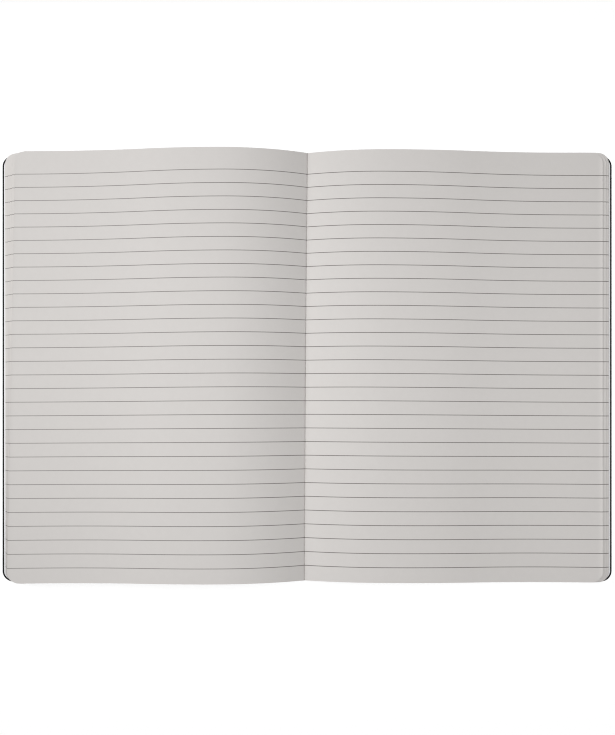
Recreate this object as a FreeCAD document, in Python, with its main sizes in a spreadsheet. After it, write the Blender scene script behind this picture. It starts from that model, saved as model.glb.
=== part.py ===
import FreeCAD, Part
import math
import os
import Sketcher

# Composition notebook, lying open with its pages up.
# X runs from the front cover's side to the back cover's side, Y from the tail to the head,
# and Z up. The origin is under the middle of the spine, on the surface that it lies on.

document = FreeCAD.newDocument("composition_notebook")
sheet = document.addObject("Spreadsheet::Sheet", "Sizes")

SIZES = (
    ("leaf_height", 254, "head to tail of the leaves and the boards"),
    ("corner_radius", 6.35, "rounded fore-edge corners"),
    ("board_width", 176, "spine edge to fore-edge of one cover board"),
    ("board_thickness", 0.9, "cover board"),
    ("spine_width", 10, "from one board's spine edge to the other's"),
    ("spine_clearance", 0.3, "between the folds of the sheets and each board"),
    ("tape_lap", 22, "how far the cloth tape reaches under each board"),
    ("tape_thickness", 0.3, "cloth tape"),
    ("gutter_offset", 1, "gutter to the middle of the spine, on the front side"),
    ("gutter_stack", 1.8, "sheets under the gutter, above the boards"),
    ("fan_steps", 5, "groups of sheets that show at a fore-edge"),
    ("left_stack", 5.3, "pressed sheets on the front cover"),
    ("left_inset", 1.6, "lowest sheet, in from the front board's fore-edge"),
    ("left_fan", 7.5, "top sheet, in from the lowest sheet"),
    ("left_peak", 49.5, "gutter to the crest of the left page"),
    ("left_rise", 7.8, "crest of the left page above its lowest part"),
    ("left_bend", 42, "crest to where the left page turns hollow"),
    ("left_low", 114, "crest to the lowest part of the left page"),
    ("right_stack", 2.6, "pressed sheets on the back cover"),
    ("right_inset", 1.3, "lowest sheet, in from the back board's fore-edge"),
    ("right_fan", 6.8, "top sheet, in from the lowest sheet"),
    ("right_peak", 46.5, "gutter to the crest of the right page"),
    ("right_rise", 6.4, "crest of the right page above its lowest part"),
    ("right_bend", 50, "crest to where the right page turns hollow"),
    ("right_low", 105, "crest to the lowest part of the right page"),
    ("thread_diameter", 0.6, "sewing thread"),
    ("thread_clearance", 0.05, "around the thread in its groove and holes"),
    ("stitch_length", 12, "from one stitch hole to the next"),
    ("stitch_cover", 0.7, "folds left between the top of a stitch and the gutter"),
    ("stitch_margin", 7, "head or tail to the first stitch hole, at least"),
)
for row, (alias, number, note) in enumerate(SIZES, start=1):
    sheet.set(f"A{row}", alias)
    sheet.set(f"B{row}", str(number))
    sheet.setAlias(f"B{row}", alias)
    sheet.set(f"C{row}", note)
document.recompute()


class Length:
    """A length in millimetres, with the formula that gives it from the sheet."""

    def __init__(self, value, formula):
        self.value = value
        self.formula = formula

    def __add__(self, other):
        other = as_length(other)
        return Length(self.value + other.value, f"({self.formula} + {other.formula})")

    def __sub__(self, other):
        other = as_length(other)
        return Length(self.value - other.value, f"({self.formula} - {other.formula})")

    def __mul__(self, factor):
        factor = as_length(factor)
        return Length(self.value * factor.value, f"({self.formula} * {factor.formula})")

    def __truediv__(self, divisor):
        divisor = as_length(divisor)
        return Length(self.value / divisor.value, f"({self.formula} / {divisor.formula})")

    def __neg__(self):
        return Length(-self.value, f"(-{self.formula})")


def as_length(number):
    return number if isinstance(number, Length) else Length(number, repr(number))


def size(alias):
    return Length(float(sheet.get(alias)), f"Sizes.{alias}")


def whole(number):
    return Length(math.floor(number.value), f"floor({number.formula})")


def bind(thing, name, length):
    thing.setExpression(name, length.formula)


# Lengths that several pieces share.
half_height = size("leaf_height") / 2
half_spine = size("spine_width") / 2
board_reach = half_spine + size("board_width")
tape_reach = half_spine + size("tape_lap")
tape_top = size("tape_thickness")
board_top = tape_top + size("board_thickness")
gutter_x = -size("gutter_offset")
gutter_z = board_top + size("gutter_stack")
thread_radius = size("thread_diameter") / 2
thread_room = thread_radius + size("thread_clearance")
thread_axis_z = tape_top + thread_room
stitch_run = size("leaf_height") - size("stitch_margin") * 2
stitch_gaps = whole(stitch_run / size("stitch_length"))
first_stitch_y = -size("stitch_length") * stitch_gaps / 2
stitch_top_z = gutter_z - size("stitch_cover")


def datum_of(body, role):
    return next(datum for datum in body.Origin.OriginFeatures if datum.Role == role)


def new_sketch(body, name, role, height=None):
    """A sketch on one of the body's own planes, raised by height along its normal."""
    sketch = body.newObject("Sketcher::SketchObject", name)
    sketch.AttachmentSupport = [(datum_of(body, role), "")]
    sketch.MapMode = "FlatFace"
    if height is not None:
        bind(sketch, ".AttachmentOffset.Base.z", height)
    return sketch


def fix(sketch, kind, geometry, point, length):
    """Holds a point of the sketch at a distance from its origin along one axis."""
    index = sketch.addConstraint(
        Sketcher.Constraint(kind, -1, 1, geometry, point, length.value)
    )
    bind(sketch, f"Constraints[{index}]", length)


def arc_between(start, end, centre_x):
    """The shorter arc from start to end about a centre on the line x = centre_x."""
    (x1, y1), (x2, y2) = start, end
    squares = (x2 - centre_x) ** 2 + y2**2 - (x1 - centre_x) ** 2 - y1**2
    centre_y = squares / (2 * (y2 - y1))
    first = math.atan2(y1 - centre_y, x1 - centre_x)
    last = math.atan2(y2 - centre_y, x2 - centre_x)
    forward = (last - first) % (2 * math.pi) < math.pi
    if not forward:
        first, last = last, first
    radius = math.hypot(x1 - centre_x, y1 - centre_y)
    circle = Part.Circle(
        FreeCAD.Vector(centre_x, centre_y, 0), FreeCAD.Vector(0, 0, 1), radius
    )
    return Part.ArcOfCircle(circle, first, last), forward


def draw_outline(sketch, corners):
    """Closes an outline through the corners, each (x, y) or (x, y, centre_x).

    The third length makes the side that leaves the corner an arc about that centre.
    """
    ends = []
    for corner, following in zip(corners, corners[1:] + corners[:1]):
        start = (corner[0].value, corner[1].value)
        end = (following[0].value, following[1].value)
        if len(corner) == 3:
            side, forward = arc_between(start, end, corner[2].value)
            index = sketch.addGeometry(side, False)
            ends.append((index, 1, 2) if forward else (index, 2, 1))
        else:
            side = Part.LineSegment(FreeCAD.Vector(*start, 0), FreeCAD.Vector(*end, 0))
            ends.append((sketch.addGeometry(side, False), 1, 2))
    for (one, _, last), (other, first, _) in zip(ends, ends[1:] + ends[:1]):
        sketch.addConstraint(Sketcher.Constraint("Coincident", one, last, other, first))
    for corner, (index, first, _) in zip(corners, ends):
        fix(sketch, "DistanceX", index, first, corner[0])
        fix(sketch, "DistanceY", index, first, corner[1])
        if len(corner) == 3:
            fix(sketch, "DistanceX", index, 3, corner[2])


def draw_circle(sketch, x, y, radius):
    circle = Part.Circle(
        FreeCAD.Vector(x.value, y.value, 0), FreeCAD.Vector(0, 0, 1), radius.value
    )
    index = sketch.addGeometry(circle, False)
    fix(sketch, "DistanceX", index, 3, x)
    fix(sketch, "DistanceY", index, 3, y)
    radius_index = sketch.addConstraint(
        Sketcher.Constraint("Radius", index, radius.value)
    )
    bind(sketch, f"Constraints[{radius_index}]", radius)


def raise_pad(body, name, sketch, length, symmetric=False):
    pad = body.newObject("PartDesign::Pad", name)
    pad.Profile = sketch
    pad.SideType = "Symmetric" if symmetric else "One side"
    bind(pad, "Length", length)
    return pad


def cut_pocket(body, name, sketch, length, symmetric=False, upwards=False):
    """Cuts a pocket and checks that it took something away."""
    document.recompute()
    before = body.Shape.Volume
    pocket = body.newObject("PartDesign::Pocket", name)
    pocket.Profile = sketch
    pocket.SideType = "Symmetric" if symmetric else "One side"
    pocket.Reversed = upwards
    bind(pocket, "Length", length)
    document.recompute()
    if body.Shape.Volume >= before:
        raise ValueError(f"{name} cut nothing")
    return pocket


def repeat_stitches(body, name, feature):
    """Repeats the first stitch along the spine, up to the last stitch hole."""
    pattern = body.newObject("PartDesign::LinearPattern", name)
    pattern.Originals = [feature]
    pattern.Direction = (datum_of(body, "Y_Axis"), [""])
    bind(pattern, "Length", size("stitch_length") * stitch_gaps)
    bind(pattern, "Occurrences", stitch_gaps + 1)
    body.Tip = pattern


def new_body(node):
    body = document.addObject("PartDesign::Body", node)
    body.Label = node
    return body


def rounded_side(inner_x, outer_x, side):
    """Plan of a leaf or board on one side (-1 left, 1 right), with two round corners."""
    radius = size("corner_radius")
    inner = inner_x * side
    outer = outer_x * side
    round_x = (outer_x - radius) * side
    return [
        (inner, half_height),
        (round_x, half_height, round_x),
        (outer, half_height - radius),
        (outer, radius - half_height, round_x),
        (round_x, -half_height),
        (inner, -half_height),
    ]


def add_cover(node, side):
    """One cover board, flat on the tape, with its fore-edge corners rounded."""
    body = new_body(node)
    plan = new_sketch(body, f"{node}_plan", "XY_Plane", tape_top)
    draw_outline(plan, rounded_side(half_spine, board_reach, side))
    raise_pad(body, f"{node}_board", plan, size("board_thickness"))


def rectangle(half_x, half_y):
    return [(half_x, half_y), (half_x, -half_y), (-half_x, -half_y), (-half_x, half_y)]


def add_spine_tape():
    """The cloth tape under the spine, lapping under both boards."""
    body = new_body("spine_tape")
    plan = new_sketch(body, "tape_plan", "XY_Plane")
    draw_outline(plan, rectangle(tape_reach, half_height))
    raise_pad(body, "tape_cloth", plan, size("tape_thickness"))


def page_crest(name, side):
    """The top leaf's points on one side: crest, bend and lowest part, as (x, z)."""
    low_z = board_top + size(f"{name}_stack")
    crest_x = gutter_x + size(f"{name}_peak") * side
    crest_z = low_z + size(f"{name}_rise")
    bend_x = crest_x + size(f"{name}_bend") * side
    bend_z = crest_z - size(f"{name}_rise") * size(f"{name}_bend") / size(f"{name}_low")
    low_x = crest_x + size(f"{name}_low") * side
    return (crest_x, crest_z), (bend_x, bend_z), (low_x, low_z)


def add_fan(body, name, side):
    """The stack on one side, in steps where groups of sheets show at the fore-edge."""
    steps = int(size("fan_steps").value)
    lowest = board_reach - size(f"{name}_inset")
    step_height = size(f"{name}_stack") / steps
    for step in range(steps):
        reach = lowest - size(f"{name}_fan") * step / (steps - 1)
        bottom = board_top + step_height * step
        top_step = step == steps - 1
        height = step_height + size(f"{name}_rise") * 2 if top_step else step_height
        plan = new_sketch(body, f"{name}_sheets_{step + 1}_plan", "XY_Plane", bottom)
        draw_outline(plan, rounded_side(gutter_x * side, reach, side))
        raise_pad(body, f"{name}_sheets_{step + 1}", plan, height)


def add_page_block():
    """All the sheets: two stacks that meet over the spine, under arched top leaves."""
    body = new_body("page_block")

    # The folds of the sheets stand on the tape, between the boards.
    fold_half = half_spine - size("spine_clearance")
    plan = new_sketch(body, "folds_plan", "XY_Plane", tape_top)
    draw_outline(plan, rectangle(fold_half, half_height))
    raise_pad(body, "folds", plan, gutter_z - tape_top)

    add_fan(body, "left", -1)
    add_fan(body, "right", 1)

    # Each open page rises from the gutter to a crest, and comes down hollow to its edge.
    crest_l, bend_l, low_l = page_crest("left", -1)
    crest_r, bend_r, low_r = page_crest("right", 1)
    clear_x = board_reach + size("corner_radius")
    clear_z = gutter_z + (size("left_rise") + size("right_rise")) * 4
    open_air = [
        (gutter_x, gutter_z, crest_l[0]),
        (*crest_l, crest_l[0]),
        (*bend_l, low_l[0]),
        low_l,
        (-clear_x, low_l[1]),
        (-clear_x, clear_z),
        (clear_x, clear_z),
        (clear_x, low_r[1]),
        (*low_r, low_r[0]),
        (*bend_r, crest_r[0]),
        (*crest_r, crest_r[0]),
    ]
    arches = new_sketch(body, "arches_section", "XZ_Plane")
    draw_outline(arches, open_air)
    cut_pocket(body, "arches", arches, size("leaf_height") * 2, symmetric=True)

    # The thread lies in a groove under the folds and goes up through holes in them.
    groove = new_sketch(body, "groove_plan", "XY_Plane", tape_top)
    draw_outline(groove, rectangle(thread_room, half_height))
    cut_pocket(body, "groove", groove, thread_room * 2, upwards=True)
    hole = new_sketch(body, "hole_plan", "XY_Plane", tape_top)
    draw_circle(hole, as_length(0), first_stitch_y, thread_room)
    depth = stitch_top_z + size("thread_clearance") - tape_top
    first_hole = cut_pocket(body, "first_hole", hole, depth, upwards=True)
    repeat_stitches(body, "stitch_holes", first_hole)


def add_binding_thread():
    """The sewing thread along the spine, with a stitch up into each hole."""
    body = new_body("binding_thread")
    run = new_sketch(body, "run_section", "XZ_Plane")
    draw_circle(run, as_length(0), thread_axis_z, thread_radius)
    raise_pad(body, "run", run, stitch_run, symmetric=True)
    stitch = new_sketch(body, "stitch_plan", "XY_Plane", thread_axis_z)
    draw_circle(stitch, as_length(0), first_stitch_y, thread_radius)
    rise = stitch_top_z - thread_axis_z
    first_stitch = raise_pad(body, "first_stitch", stitch, rise)
    document.recompute()
    repeat_stitches(body, "stitches", first_stitch)


add_cover("front_cover", -1)
add_cover("back_cover", 1)
add_spine_tape()
add_page_block()
add_binding_thread()
document.recompute()

for thing in document.Objects:
    if "Invalid" in thing.State or "Error" in thing.State:
        raise ValueError(f"{thing.Name} did not build: {thing.State}")

os.makedirs("parts", exist_ok=True)
for body in document.findObjects("PartDesign::Body"):
    if body.Shape.isNull() or not body.Shape.isValid():
        raise ValueError(f"{body.Label} has no valid shape")
    body.Shape.exportStep(os.path.join("parts", f"{body.Label}.step"))
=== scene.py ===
import math
import random

import bpy
import numpy as np
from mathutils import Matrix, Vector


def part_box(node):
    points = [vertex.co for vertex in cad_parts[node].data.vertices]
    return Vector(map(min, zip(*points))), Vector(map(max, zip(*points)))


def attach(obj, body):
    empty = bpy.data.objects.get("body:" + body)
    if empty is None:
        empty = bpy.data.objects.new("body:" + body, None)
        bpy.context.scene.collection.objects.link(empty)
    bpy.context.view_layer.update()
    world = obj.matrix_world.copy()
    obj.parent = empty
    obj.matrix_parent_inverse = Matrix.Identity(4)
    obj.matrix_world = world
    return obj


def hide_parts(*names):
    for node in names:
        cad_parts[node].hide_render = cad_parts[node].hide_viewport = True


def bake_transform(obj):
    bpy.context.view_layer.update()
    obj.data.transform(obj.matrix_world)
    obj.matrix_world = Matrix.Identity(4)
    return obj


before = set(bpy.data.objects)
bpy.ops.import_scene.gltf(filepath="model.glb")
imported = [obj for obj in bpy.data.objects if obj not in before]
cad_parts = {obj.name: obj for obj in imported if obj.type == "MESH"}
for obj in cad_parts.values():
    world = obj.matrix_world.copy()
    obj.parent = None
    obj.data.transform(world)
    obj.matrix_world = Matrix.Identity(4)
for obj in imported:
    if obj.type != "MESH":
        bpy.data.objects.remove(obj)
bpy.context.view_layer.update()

# Lengths are in millimetres unless a comment says metres, and MM turns them into Blender's metres
MM = 0.001


def corners(node):
    """The lowest and the highest corner of a node of the frame."""
    return [np.array(corner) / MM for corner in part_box(node)]


# Places that the frame gives
block_low, block_high = corners("page_block")
board_low, board_high = corners("back_cover")
tape_low, tape_high = corners("spine_tape")
HALF_HEIGHT = block_high[1]
BOARD_TOP = board_high[2]
TAPE_TOP = tape_high[2]

# The gutter, and how its crease sinks, slants and curves between tail and head
GUTTER_X = -1.0
GUTTER_Z = 3.0
CREASE_DEPTH = 0.40
CREASE_MIDDLE = 0.05
CREASE_SLANT = 0.89
CREASE_CURVE = 0.30
SLANT_FADE = 40.0

# How far the leaves' tail edge and the boards drop towards the tail, from the gutter out to REACH
SPLAY = 1.0
REACH = 172.0
CORNER_RADIUS = 6.35

# A leaf: its pitch in the stack, the share of that which is paper, and how far trimmed edges differ
LEAF_PITCH = 0.083
LEAF_SHARE = 0.92
TRIM_SPREAD = 0.04

# How finely a leaf is divided: columns outwards from the gutter, and rows from tail to head
CREASE_COLUMNS = (0, 0.25, 0.5, 0.8, 1.3, 2.0, 3.0, 4.2, 5.6, 7.2, 9.2, 11.8, 15.0)
MIDDLE_COLUMNS = 34
CORNER_COLUMNS = 10
TOP_LEAVES = 2
TOP_ROWS = 49
INNER_ROWS = 9

# Air between leaves, as shares: a few wide gaps among narrow ones, with a slow ripple along the page
WIDE_CHANCE = 0.18
WIDE_GAP = (1.6, 3.4)
NARROW_GAP = (0.1, 0.35)
RIPPLE = 0.010
RIPPLE_TURN = 3.1
RIPPLE_LENGTH = 31.0
RIPPLE_START = 40.0

# Bunches of leaves: where they part at the fore-edge, how much they lean back, and how sharply they fan
BUNCH_REACH = 2.5
BUNCH_LEAN = 0.12
FAN_POWER = 6

# Between the boards the lowest leaves sink onto the tape, starting just inside a board's edge
SINK_START = 0.4
SINK_LENGTH = 1.8

# Ruling: the place of the first line above the middle, and a spacing that grows towards the tail
FIRST_LINE = 113.9
LINE_COUNT = 30
HEAD_PITCH = 7.75
PITCH_GROWTH = 0.0159
MEAN_PITCH = HEAD_PITCH + PITCH_GROWTH * (LINE_COUNT - 1) / 2
LINE_WIDTH = 0.38
LINE_SOFTNESS = 0.15

# Boards: how far the rounded edge lies in at each height from a face, then the rim and the sunk liner
EDGE_PROFILE = ((0.30, 0.0), (0.10, 0.05), (0.0, 0.20))
CORNER_POINTS = 13
RIM_WIDTH = 1.0
LINER_GAP = 0.02
LINER_SINK = 0.03

# The spine cloth has closer columns within TAPE_BEND of a board's edge, and has this many rows from tail to
# head
TAPE_BEND = 1.0
TAPE_ROWS = 65

# Edges that turn by more than this stay crisp
SHARP_ANGLE = math.radians(60)

# Noise scales of the clouds and the fibres in paper
CLOUD_SCALE = 260
FIBRE_SCALE = 2600

# Camera: its place in metres, and its focal length in pixels of the photo
CAMERA_HEIGHT = 0.5
CAMERA_X = 0.00024
CAMERA_Y = -0.034
CAMERA_SHIFT_Y = 0.0782
FOCAL_PIXELS = 839.5
IMAGE_HEIGHT = 735
SENSOR = 36.0
PIXEL_FILTER = 1.1

# Floor, in metres: how far it reaches from the middle, and how far it lies below the notebook
FLOOR_REACH = 3.0
FLOOR_DROP = 0.0001

# The floor shows in a band, measured in metres from a rectangle FLOOR_INNER inside the footprint
FLOOR_INNER = 0.008
FLOOR_START = 0.004
FLOOR_FULL = 0.025
FLOOR_CLEAR = 0.110
FLOOR_BODY = 0.3
FLOOR_GLOW = 0.42

# Strength of the light from the room, and of the white that the camera sees behind the notebook
ROOM_LIGHT = 0.02
BACKDROP = 1.0


class Stack:
    """The leaves on one side of the gutter, where side is -1 on the left and 1 on the right.

    Bunches come from the lowest up, as counts of leaves (groups) and distances in from the reach (insets).
    The page climbs from the gutter to its height at the crest. Past it the page falls by rise over the
    distance low: it bends down over the distance bend, and is hollow from there on. At the tail the
    leaves fan out by tail_spread of their inset and draw in by tail_inset. Bunches part by bunch_lift
    at the fore-edge, and the tail corner curls up by corner_lift, starting at corner_start.
    """

    def __init__(
        self, name, side, groups, insets, tail_spread, tail_inset, crease, crest, height, bend, low, rise,
        bunch_lift, corner_lift, corner_start, seed,
    ):
        self.name = name
        self.side = side
        self.groups = groups
        self.insets = insets
        self.tail_spread = tail_spread
        self.tail_inset = tail_inset
        self.crease = crease
        self.crest = crest
        self.height = height
        self.bend = bend
        self.low = low
        self.rise = rise
        self.bunch_lift = bunch_lift
        self.corner_lift = corner_lift
        self.corner_start = corner_start
        self.seed = seed
        edge = block_low[0] if side < 0 else block_high[0]
        self.reach = abs(edge - GUTTER_X)
        self.leaves = sum(groups)


LEFT = Stack(
    "left_leaves", side=-1, groups=(12, 13, 13, 13, 13), insets=(0.1, 2.2, 4.0, 5.5, 7.8),
    tail_spread=0.60, tail_inset=0.6, crease=0.7, crest=49.5, height=block_high[2],
    bend=42.0, low=114.0, rise=7.8, bunch_lift=0.02, corner_lift=2.0, corner_start=105.0, seed=11,
)
RIGHT = Stack(
    "right_leaves", side=1, groups=(27, 3, 3, 3), insets=(1.0, 1.7, 3.0, 5.1),
    tail_spread=0.0, tail_inset=0.3, crease=0.35, crest=46.5, height=10.2,
    bend=50.0, low=105.0, rise=6.4, bunch_lift=0.12, corner_lift=1.0, corner_start=120.0, seed=23,
)


# Form: d is a distance out from the gutter, and v runs from -1 at the tail to 1 at the head


def arc_drop(across, whole, drop):
    """How far an arc that falls by drop over the distance whole has fallen after across."""
    radius = (whole**2 + drop**2) / (2 * drop)
    return radius - np.sqrt(radius**2 - across**2)


def smooth(t):
    """A soft step from 0 to 1."""
    t = np.clip(t, 0, 1)
    return t * t * (3 - 2 * t)


def page_top(stack, d):
    """Height of the open page."""
    before = np.clip(stack.crest - d, 0, stack.crest)
    rising = stack.height - arc_drop(before, stack.crest, stack.height - GUTTER_Z)
    past = np.clip(d - stack.crest, 0, stack.low)
    bend_drop = stack.rise * stack.bend / stack.low
    falling = stack.height - arc_drop(np.minimum(past, stack.bend), stack.bend, bend_drop)
    hollow = stack.low - stack.bend
    to_go = np.clip(stack.low - past, 0, hollow)
    landing = stack.height - stack.rise + arc_drop(to_go, hollow, stack.rise - bend_drop)
    top = np.where(d < stack.crest, rising, np.where(past < stack.bend, falling, landing))
    return top - CREASE_DEPTH * (1 - smooth(d / stack.crease))


def page_floor(stack, d):
    """Height of what the lowest leaf lies on: the board, or the tape between the boards."""
    from_middle = np.abs(GUTTER_X + stack.side * d)
    sunk = smooth((board_low[0] - SINK_START - from_middle) / SINK_LENGTH)
    return BOARD_TOP - (BOARD_TOP - TAPE_TOP) * sunk


def leaf_columns(width):
    """Distances from the gutter, closest at the crease and round the corners, and the half height at each."""
    corner_start = width - CORNER_RADIUS
    middle = np.linspace(CREASE_COLUMNS[-1], corner_start, MIDDLE_COLUMNS)[1:]
    turn = np.radians(np.linspace(0, 90, CORNER_COLUMNS)[1:])
    distances = np.concatenate([CREASE_COLUMNS, middle, corner_start + CORNER_RADIUS * np.sin(turn)])
    halves = np.full(len(distances), HALF_HEIGHT)
    halves[-len(turn):] -= CORNER_RADIUS * (1 - np.cos(turn))
    return distances, halves


def outwards(x):
    """0 at the gutter and 1 near the fore-edges."""
    return np.minimum(np.abs(x - GUTTER_X) / REACH, 1)


def trimmed(x, y):
    """The place of a leaf's point: the head edge is straight, and the tail edge slopes up to the gutter."""
    tail_share = (HALF_HEIGHT - y) / (2 * HALF_HEIGHT)
    return y + SPLAY * (1 - outwards(x)) * tail_share


def splayed(x, y):
    """The place of a board's point: SPLAY shorter than the leaves, and slid by SPLAY at the fore-edge."""
    return y * (1 - SPLAY / 2 / HALF_HEIGHT) + SPLAY / 2 - SPLAY * outwards(x)


def slab(x, y, top, bottom, flip):
    """Points and faces of one closed sheet, from grids of columns by rows; flip is for columns towards -X."""
    columns, rows = x.shape
    points = np.concatenate([
        np.stack([x, y, top], axis=-1).reshape(-1, 3),
        np.stack([x, y, bottom], axis=-1).reshape(-1, 3),
    ])
    index = np.arange(columns * rows).reshape(columns, rows)
    under = index + columns * rows

    def quads(a, b, c, d):
        return np.stack([a, b, c, d], axis=-1).reshape(-1, 4)

    faces = np.concatenate([
        quads(index[:-1, :-1], index[1:, :-1], index[1:, 1:], index[:-1, 1:]),
        quads(under[:-1, :-1], under[:-1, 1:], under[1:, 1:], under[1:, :-1]),
        quads(index[:-1, 0], under[:-1, 0], under[1:, 0], index[1:, 0]),
        quads(index[:-1, -1], index[1:, -1], under[1:, -1], under[:-1, -1]),
        quads(index[0, :-1], index[0, 1:], under[0, 1:], under[0, :-1]),
        quads(index[-1, :-1], under[-1, :-1], under[-1, 1:], index[-1, 1:]),
    ])
    return points, faces[:, ::-1] if flip else faces


def linked_object(name, points, faces):
    """A new mesh object in the scene, from points in metres."""
    mesh = bpy.data.meshes.new(name)
    mesh.from_pydata(points, [], faces)
    mesh.update()
    piece = bpy.data.objects.new(name, mesh)
    bpy.context.scene.collection.objects.link(piece)
    return piece


def slab_object(name, slabs, material):
    """One piece out of several slabs, with crisp edges all round each slab."""
    points, faces, start = [], [], 0
    for slab_points, slab_faces in slabs:
        points.append(slab_points)
        faces.append(slab_faces + start)
        start += len(slab_points)
    piece = linked_object(name, (np.concatenate(points) * MM).tolist(), np.concatenate(faces).tolist())
    piece.data.shade_smooth()
    piece.data.set_sharp_from_angle(angle=SHARP_ANGLE)
    piece.data.materials.append(material)
    return piece


def leaf_gaps(stack, rng):
    """The share of the stack's air below each leaf: most leaves cling together, with a few wider gaps."""
    gaps = [0.0]
    for _ in range(stack.leaves - 1):
        wide = rng.random() < WIDE_CHANCE
        gaps.append(rng.uniform(*(WIDE_GAP if wide else NARROW_GAP)))
    share = np.cumsum(gaps)
    return share / share[-1]


def leaf_insets(stack, rng):
    """Each leaf's bunch, and how far its fore-edge lies in from the reach: bunches step back in turn."""
    leaves = []
    for number, (count, inset) in enumerate(zip(stack.groups, stack.insets)):
        following = stack.insets[min(number + 1, len(stack.insets) - 1)]
        lean = BUNCH_LEAN * (following - inset)
        for k in range(count):
            leaves.append((number, inset + lean * k / count + rng.uniform(0, TRIM_SPREAD)))
    return leaves


def edge_lift(stack, bunch, d, width, tail):
    """How far a leaf has sprung up: bunches part near the fore-edge, and the tail corner curls."""
    near_edge = np.clip((d - width + BUNCH_REACH) / BUNCH_REACH, 0, 1) ** 2
    near_corner = np.clip((d - stack.corner_start) / (width - stack.corner_start), 0, 1) ** 2 * tail**2
    return bunch * stack.bunch_lift * near_edge, stack.corner_lift * near_corner


def leaf_across(stack, inset, d, v, tail):
    """Where a leaf's points lie from left to right: fanned at the tail, and slanting along the crease."""
    fanned = (inset * stack.tail_spread - stack.tail_inset) * tail * (d / d.max()) ** FAN_POWER
    slant = CREASE_MIDDLE + CREASE_SLANT * v + CREASE_CURVE * v**2
    return GUTTER_X + stack.side * (d + fanned) + slant * np.exp(-(d / SLANT_FADE) ** 2)


def leaf_stack(stack, paper):
    """All the leaves on one side of the gutter."""
    rng = random.Random(stack.seed)
    shares = leaf_gaps(stack, rng)
    slabs = []
    for number, (bunch, inset) in enumerate(leaf_insets(stack, rng)):
        rows = TOP_ROWS if number >= stack.leaves - TOP_LEAVES else INNER_ROWS
        distances, half = leaf_columns(stack.reach - inset)
        d, v = np.meshgrid(distances, np.linspace(-1, 1, rows), indexing="ij")
        tail = (1 - v) / 2
        x = leaf_across(stack, inset, d, v, tail)
        y = (half - rng.uniform(0, TRIM_SPREAD))[:, None] * v
        floor = page_floor(stack, d)
        parting, curl = edge_lift(stack, bunch, d, distances[-1], tail)
        height = page_top(stack, d) + curl - floor
        pitch = np.minimum(LEAF_PITCH, height / stack.leaves)
        air = height - pitch * stack.leaves
        wave = 1 + np.sin(v * RIPPLE_TURN + d / RIPPLE_LENGTH + stack.seed)
        ripple = 1 - RIPPLE * wave * smooth(d / RIPPLE_START)
        top = floor + pitch * (number + 1) + air * shares[number] * ripple + parting
        slabs.append(slab(x, trimmed(x, y), top, top - LEAF_SHARE * pitch, flip=stack.side < 0))
    return slab_object(stack.name, slabs, paper)


def board_outline(side, inset):
    """One ring of a cover board, anticlockwise seen from above, with the two fore-edge corners rounded."""
    inner, outer = board_low[0] + inset, board_high[0] - inset
    half = HALF_HEIGHT - inset
    radius = CORNER_RADIUS - inset
    turn = np.radians(np.linspace(0, 90, CORNER_POINTS))
    lower = [(outer - radius + radius * math.sin(a), -half + radius - radius * math.cos(a)) for a in turn]
    upper = [(outer - radius + radius * math.cos(a), half - radius + radius * math.sin(a)) for a in turn]
    ring = [(inner, -half)] + lower + upper + [(inner, half)]
    if side < 0:
        ring = [(-x, y) for x, y in reversed(ring)]
    ring = np.array(ring)
    return np.stack([ring[:, 0], splayed(ring[:, 0], ring[:, 1])], axis=1)


def cover_board(name, side, cover, liner):
    """A board whose covering turns over its edge onto the inner face, with a paper liner within that rim."""
    low, high = board_low[2], board_high[2]
    rings = [(inset, low + up) for inset, up in EDGE_PROFILE]
    rings += [(inset, high - down) for inset, down in reversed(EDGE_PROFILE)]
    rings += [(RIM_WIDTH, high), (RIM_WIDTH + LINER_GAP, high - LINER_SINK)]
    points, faces = [], []
    for inset, z in rings:
        points += [(x * MM, y * MM, z * MM) for x, y in board_outline(side, inset)]
    count = len(points) // len(rings)
    for ring in range(len(rings) - 1):
        for k in range(count):
            a = ring * count + k
            b = ring * count + (k + 1) % count
            faces.append((a, b, b + count, a + count))
    faces.append(tuple(reversed(range(count))))
    faces.append(tuple(range(len(points) - count, len(points))))
    piece = linked_object(name, points, faces)
    piece.data.materials.append(cover)
    piece.data.materials.append(liner)
    piece.data.polygons[-1].material_index = 1
    rounded = 2 * len(EDGE_PROFILE) - 1
    for polygon in piece.data.polygons:
        polygon.use_smooth = polygon.index < rounded * count
    return piece


def tape_half(name, side, cloth):
    """Half of the cloth strip round the spine, from the middle to the edge that is stuck under one board."""
    lap = board_low[0]
    middle = np.linspace(0, lap - TAPE_BEND, 5)[:-1]
    bend = np.linspace(lap - TAPE_BEND, lap + TAPE_BEND, 11)
    stuck = np.linspace(lap + TAPE_BEND, tape_high[0], 12)[1:]
    d, v = np.meshgrid(np.concatenate([middle, bend, stuck]), np.linspace(-1, 1, TAPE_ROWS), indexing="ij")
    x = side * d
    y = splayed(x, HALF_HEIGHT * v)
    top, bottom = np.full_like(x, tape_high[2]), np.full_like(x, tape_low[2])
    return slab_object(name, [slab(x, y, top, bottom, flip=side < 0)], cloth)


# Materials, with the depth of their relief in metres


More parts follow.
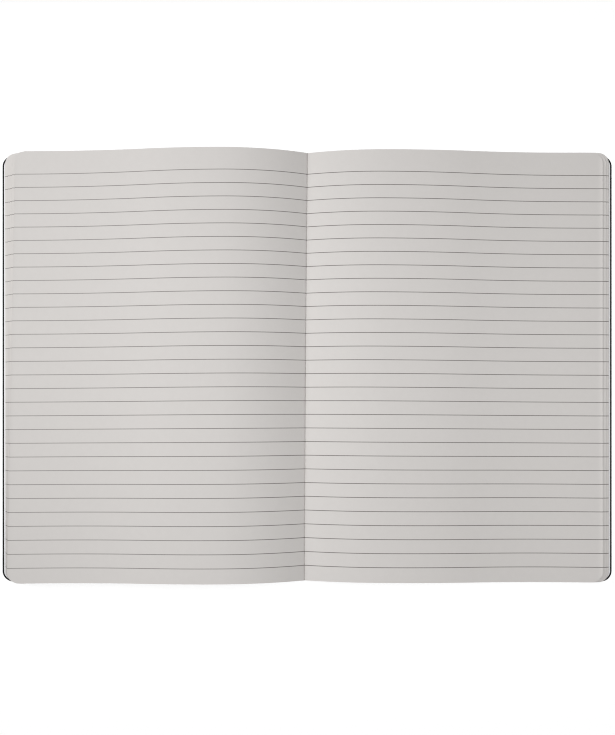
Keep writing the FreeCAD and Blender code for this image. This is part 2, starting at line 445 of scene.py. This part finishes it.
class Nodes:
    """Short ways to add and join a material's nodes."""

    def __init__(self, name):
        self.material = bpy.data.materials.new(name)
        self.material.use_nodes = True
        self.tree = self.material.node_tree
        self.shader = self.tree.nodes["Principled BSDF"]
        self.place = self.add("ShaderNodeTexCoord").outputs["Object"]

    def give(self, socket, value):
        """Links the socket to another node's output, or sets its value."""
        if isinstance(value, bpy.types.NodeSocket):
            self.tree.links.new(value, socket)
        else:
            socket.default_value = value

    def add(self, kind, inputs=None, **settings):
        node = self.tree.nodes.new(kind)
        for key, value in settings.items():
            setattr(node, key, value)
        for key, value in (inputs or {}).items():
            self.give(node.inputs[key], value)
        return node

    def math(self, operation, *values):
        return self.add("ShaderNodeMath", dict(enumerate(values)), operation=operation).outputs[0]

    def vector(self, operation, *values):
        return self.add("ShaderNodeVectorMath", dict(enumerate(values)), operation=operation).outputs

    def mapped(self, **inputs):
        """The object's own coordinates, scaled or turned."""
        return self.add("ShaderNodeMapping", {"Vector": self.place, **inputs}).outputs[0]

    def noise(self, scale, detail=3.0, stretch=(1, 1, 1)):
        inputs = {"Vector": self.mapped(Scale=stretch), "Scale": scale, "Detail": detail}
        return self.add("ShaderNodeTexNoise", inputs).outputs["Fac"]

    def wave(self, place, direction, scale, distortion, detail_scale=1.0):
        inputs = {"Vector": place, "Scale": scale, "Distortion": distortion, "Detail Scale": detail_scale}
        return self.add("ShaderNodeTexWave", inputs, bands_direction=direction).outputs["Fac"]

    def range(self, value, from_low, from_high, to_low, to_high, kind="LINEAR"):
        inputs = {"Value": value, "From Min": from_low, "From Max": from_high}
        inputs.update({"To Min": to_low, "To Max": to_high})
        return self.add("ShaderNodeMapRange", inputs, interpolation_type=kind).outputs["Result"]

    def mix(self, factor, first, second):
        node = self.add("ShaderNodeMix", data_type="RGBA")
        for key, value in (("Factor", factor), ("A", first), ("B", second)):
            self.give(next(s for s in node.inputs if s.name == key and s.enabled), value)
        return next(s for s in node.outputs if s.enabled)

    def bump(self, height, strength, distance, normal=None):
        inputs = {"Height": height, "Strength": strength, "Distance": distance}
        if normal is not None:
            inputs["Normal"] = normal
        return self.add("ShaderNodeBump", inputs).outputs["Normal"]

    def finish(self, color, roughness, normal=None, **uniform):
        for name, value in (("Base Color", color), ("Roughness", roughness), ("Normal", normal)):
            if value is not None:
                self.give(self.shader.inputs[name], value)
        for name, value in uniform.items():
            self.shader.inputs[name.replace("_", " ")].default_value = value
        return self.material


def shade(red, green, blue):
    return (red, green, blue, 1.0)


def paper_surface(nodes):
    """Uncoated paper: the cloudy look of its fibres, and their fine relief."""
    cloud = nodes.noise(CLOUD_SCALE, detail=4.0)
    fibre = nodes.noise(FIBRE_SCALE, detail=5.0, stretch=(1, 0.45, 1))
    blend = nodes.math("ADD", nodes.math("MULTIPLY", cloud, 0.6), nodes.math("MULTIPLY", fibre, 0.4))
    color = nodes.mix(blend, shade(0.630, 0.606, 0.588), shade(0.672, 0.648, 0.628))
    relief = nodes.bump(fibre, 0.25, 0.00004)
    return color, nodes.bump(cloud, 0.12, 0.0001, relief)


def page_level(nodes, place):
    """How far up the page a point lies, in metres, by a ruling that drops by SPLAY on the way to REACH."""
    across = nodes.math("ABSOLUTE", nodes.math("SUBTRACT", place["X"], GUTTER_X * MM))
    outward = nodes.math("MINIMUM", nodes.math("DIVIDE", across, REACH * MM), 1.0)
    slope = nodes.math("MULTIPLY", outward, SPLAY * MM)
    return nodes.math("ADD", nodes.math("SUBTRACT", place["Y"], SPLAY / 2 * MM), slope)


def ruled_paper():
    """Ruled paper: line n lies HEAD_PITCH * n + PITCH_GROWTH * n * n / 2 below the first, as in the photo."""
    nodes = Nodes("ruled_paper")
    color, relief = paper_surface(nodes)
    place = nodes.add("ShaderNodeSeparateXYZ", {"Vector": nodes.place}).outputs
    below_first = nodes.math("SUBTRACT", FIRST_LINE * MM, page_level(nodes, place))
    grown = nodes.math("MULTIPLY_ADD", below_first, 2 * PITCH_GROWTH / MM, HEAD_PITCH**2)
    count = nodes.math("DIVIDE", nodes.math("SUBTRACT", nodes.math("SQRT", grown), HEAD_PITCH), PITCH_GROWTH)
    nearest = nodes.math("MINIMUM", nodes.math("MAXIMUM", nodes.math("ROUND", count), 0.0), LINE_COUNT - 1.0)
    off_count = nodes.math("ABSOLUTE", nodes.math("SUBTRACT", count, nearest))
    off = nodes.math("MULTIPLY", off_count, MEAN_PITCH * MM)
    half, soft = LINE_WIDTH / 2 * MM, LINE_SOFTNESS * MM
    line = nodes.range(off, half - soft, half + soft, 1.0, 0.0, "SMOOTHSTEP")
    uneven = nodes.range(nodes.noise(1800, detail=2.0), 0.3, 0.7, 0.86, 1.0)
    fading = nodes.range(place["X"], -REACH * MM, 0.0, 0.76, 1.0)
    ink = nodes.math("MULTIPLY", nodes.math("MULTIPLY", line, uneven), fading)
    inked = nodes.mix(ink, color, shade(0.130, 0.119, 0.112))
    return nodes.finish(inked, 0.88, relief, Specular_IOR_Level=0.25)


def liner_paper():
    """Smooth white paper inside the boards."""
    nodes = Nodes("liner_paper")
    cloud = nodes.noise(CLOUD_SCALE, detail=4.0)
    color = nodes.mix(cloud, shade(0.89, 0.89, 0.90), shade(0.93, 0.93, 0.94))
    relief = nodes.bump(nodes.noise(FIBRE_SCALE), 0.2, 0.00004)
    return nodes.finish(color, 0.7, relief, Specular_IOR_Level=0.3)


def cover_leatherette():
    """Coated cover paper with a fine leather grain."""
    nodes = Nodes("cover_leatherette")
    inputs = {"Vector": nodes.mapped(Scale=(1, 1.25, 1)), "Scale": 1100.0, "Randomness": 1.0}
    grain = nodes.add("ShaderNodeTexVoronoi", inputs, feature="SMOOTH_F1").outputs["Distance"]
    fine = nodes.noise(5200, detail=4.0)
    color = nodes.mix(grain, shade(0.008, 0.008, 0.009), shade(0.017, 0.017, 0.018))
    relief = nodes.bump(fine, 0.2, 0.00002, nodes.bump(grain, 0.5, 0.00008))
    rough = nodes.range(fine, 0.3, 0.7, 0.52, 0.66)
    return nodes.finish(color, rough, relief, Specular_IOR_Level=0.2)


def spine_cloth():
    """Book cloth, its warp and weft threads about 0.9 mm apart."""
    nodes = Nodes("spine_cloth")
    warp, weft = (nodes.wave(nodes.place, direction, 350.0, 0.6, detail_scale=2.0) for direction in "XY")
    weave = nodes.math("MULTIPLY", warp, weft)
    color = nodes.mix(weave, shade(0.006, 0.006, 0.006), shade(0.026, 0.026, 0.027))
    return nodes.finish(color, 0.82, nodes.bump(weave, 0.7, 0.0001), Sheen_Weight=0.15, Sheen_Roughness=0.5)


def cotton_thread():
    """Undyed twisted cotton."""
    nodes = Nodes("cotton_thread")
    twist = nodes.wave(nodes.mapped(Rotation=(0.6, 0.5, 0.8)), "DIAGONAL", 700.0, 0.4)
    color = nodes.mix(twist, shade(0.55, 0.53, 0.47), shade(0.74, 0.71, 0.64))
    return nodes.finish(color, 0.8, nodes.bump(twist, 0.6, 0.00006), Sheen_Weight=0.3)


# Floor, light and camera


def floor_body(nodes):
    """How solid the floor is: clear under the notebook and far away, so that a cover below it still shows."""
    inner = (board_high[0] * MM - FLOOR_INNER, HALF_HEIGHT * MM - FLOOR_INNER, 1.0)
    from_middle = nodes.vector("ABSOLUTE", nodes.place)["Vector"]
    past = nodes.vector("SUBTRACT", from_middle, inner)["Vector"]
    outside = nodes.vector("MAXIMUM", past, (0, 0, 0))["Vector"]
    away = nodes.vector("LENGTH", outside)["Value"]
    near = nodes.range(away, 0.0, FLOOR_START, 0.0, FLOOR_BODY)
    return nodes.math("MULTIPLY", near, nodes.range(away, FLOOR_FULL, FLOOR_CLEAR, 1.0, 0.0, "SMOOTHSTEP"))


def pale_floor():
    """A plain white table, seen only near the notebook's outline."""
    points = [(x * FLOOR_REACH, y * FLOOR_REACH, 0) for x, y in ((-1, -1), (1, -1), (1, 1), (-1, 1))]
    floor = linked_object("floor", points, [(0, 1, 2, 3)])
    floor.location.z = -FLOOR_DROP
    floor.visible_shadow = False
    nodes = Nodes("white_table")
    color = nodes.mix(nodes.noise(8), shade(0.88, 0.88, 0.88), shade(0.9, 0.9, 0.9))
    nodes.give(nodes.shader.inputs["Alpha"], floor_body(nodes))
    floor.data.materials.append(nodes.finish(
        color, 0.9, Specular_IOR_Level=0.0, Emission_Color=shade(1, 1, 1), Emission_Strength=FLOOR_GLOW,
    ))


def area_light(name, place, power, size):
    """A round lamp at a place in metres, turned towards the notebook's middle."""
    data = bpy.data.lights.new(name, "AREA")
    data.shape = "DISK"
    data.size = size
    data.energy = power
    light = bpy.data.objects.new(name, data)
    light.location = place
    light.rotation_mode = "QUATERNION"
    light.rotation_quaternion = light.location.to_track_quat("Z", "Y")
    light.visible_camera = False
    bpy.context.scene.collection.objects.link(light)


def soft_room():
    """A dim white room that the camera sees as plain white."""
    world = bpy.data.worlds.new("studio")
    world.use_nodes = True
    tree = world.node_tree
    background = tree.nodes["Background"]
    background.inputs["Color"].default_value = shade(1, 1, 1)
    path = tree.nodes.new("ShaderNodeLightPath")
    strength = tree.nodes.new("ShaderNodeMix")
    strength.inputs["A"].default_value = ROOM_LIGHT
    strength.inputs["B"].default_value = BACKDROP
    tree.links.new(path.outputs["Is Camera Ray"], strength.inputs["Factor"])
    tree.links.new(strength.outputs[0], background.inputs["Strength"])
    bpy.context.scene.world = world


def studio():
    """A soft key from low on the left, a fill from high on the right, one overhead, and one from below."""
    area_light("key", place=(-0.788, 0.211, 0.380), power=5.0, size=0.35)
    area_light("fill", place=(0.380, 0.0, 0.816), power=2.4, size=0.35)
    area_light("overhead", place=(0.018, 0.0, 0.53), power=1.34, size=0.35)
    area_light("under", place=(0.15, -0.45, -0.70), power=4.0, size=0.5)
    soft_room()
    bpy.context.scene.view_settings.view_transform = "Standard"
    bpy.context.scene.cycles.filter_width = PIXEL_FILTER


def overhead_camera():
    """Straight down over the notebook, framed a little above the point under the lens."""
    data = bpy.data.cameras.new("camera")
    data.sensor_width = SENSOR
    data.lens = FOCAL_PIXELS * SENSOR / IMAGE_HEIGHT
    data.shift_y = CAMERA_SHIFT_Y
    camera = bpy.data.objects.new("camera", data)
    camera.location = (CAMERA_X, CAMERA_Y, CAMERA_HEIGHT)
    bpy.context.scene.collection.objects.link(camera)
    bpy.context.scene.camera = camera


# The pieces on their bodies


def dress_pages():
    """Single leaves stand for the solid page block."""
    paper = ruled_paper()
    for stack in (LEFT, RIGHT):
        leaves = leaf_stack(stack, paper)
        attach(leaves, "pages")
        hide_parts("page_block")


def dress_covers():
    """Each side has a finished board, and half of the spine cloth."""
    cover, liner, cloth = cover_leatherette(), liner_paper(), spine_cloth()
    for side, body, board_name, tape_name in (
        (-1, "front_cover", "front_board", "spine_cloth_front"),
        (1, "back_cover", "back_board", "spine_cloth_back"),
    ):
        board = cover_board(board_name, side, cover, liner)
        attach(board, body)
        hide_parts(body)
        tape = tape_half(tape_name, side, cloth)
        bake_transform(tape)
        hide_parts("spine_tape")


def dress_thread():
    """The frame's own thread, in twisted cotton."""
    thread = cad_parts["binding_thread"]
    thread.data.materials.clear()
    thread.data.materials.append(cotton_thread())


dress_pages()
dress_covers()
dress_thread()
pale_floor()
studio()
overhead_camera()
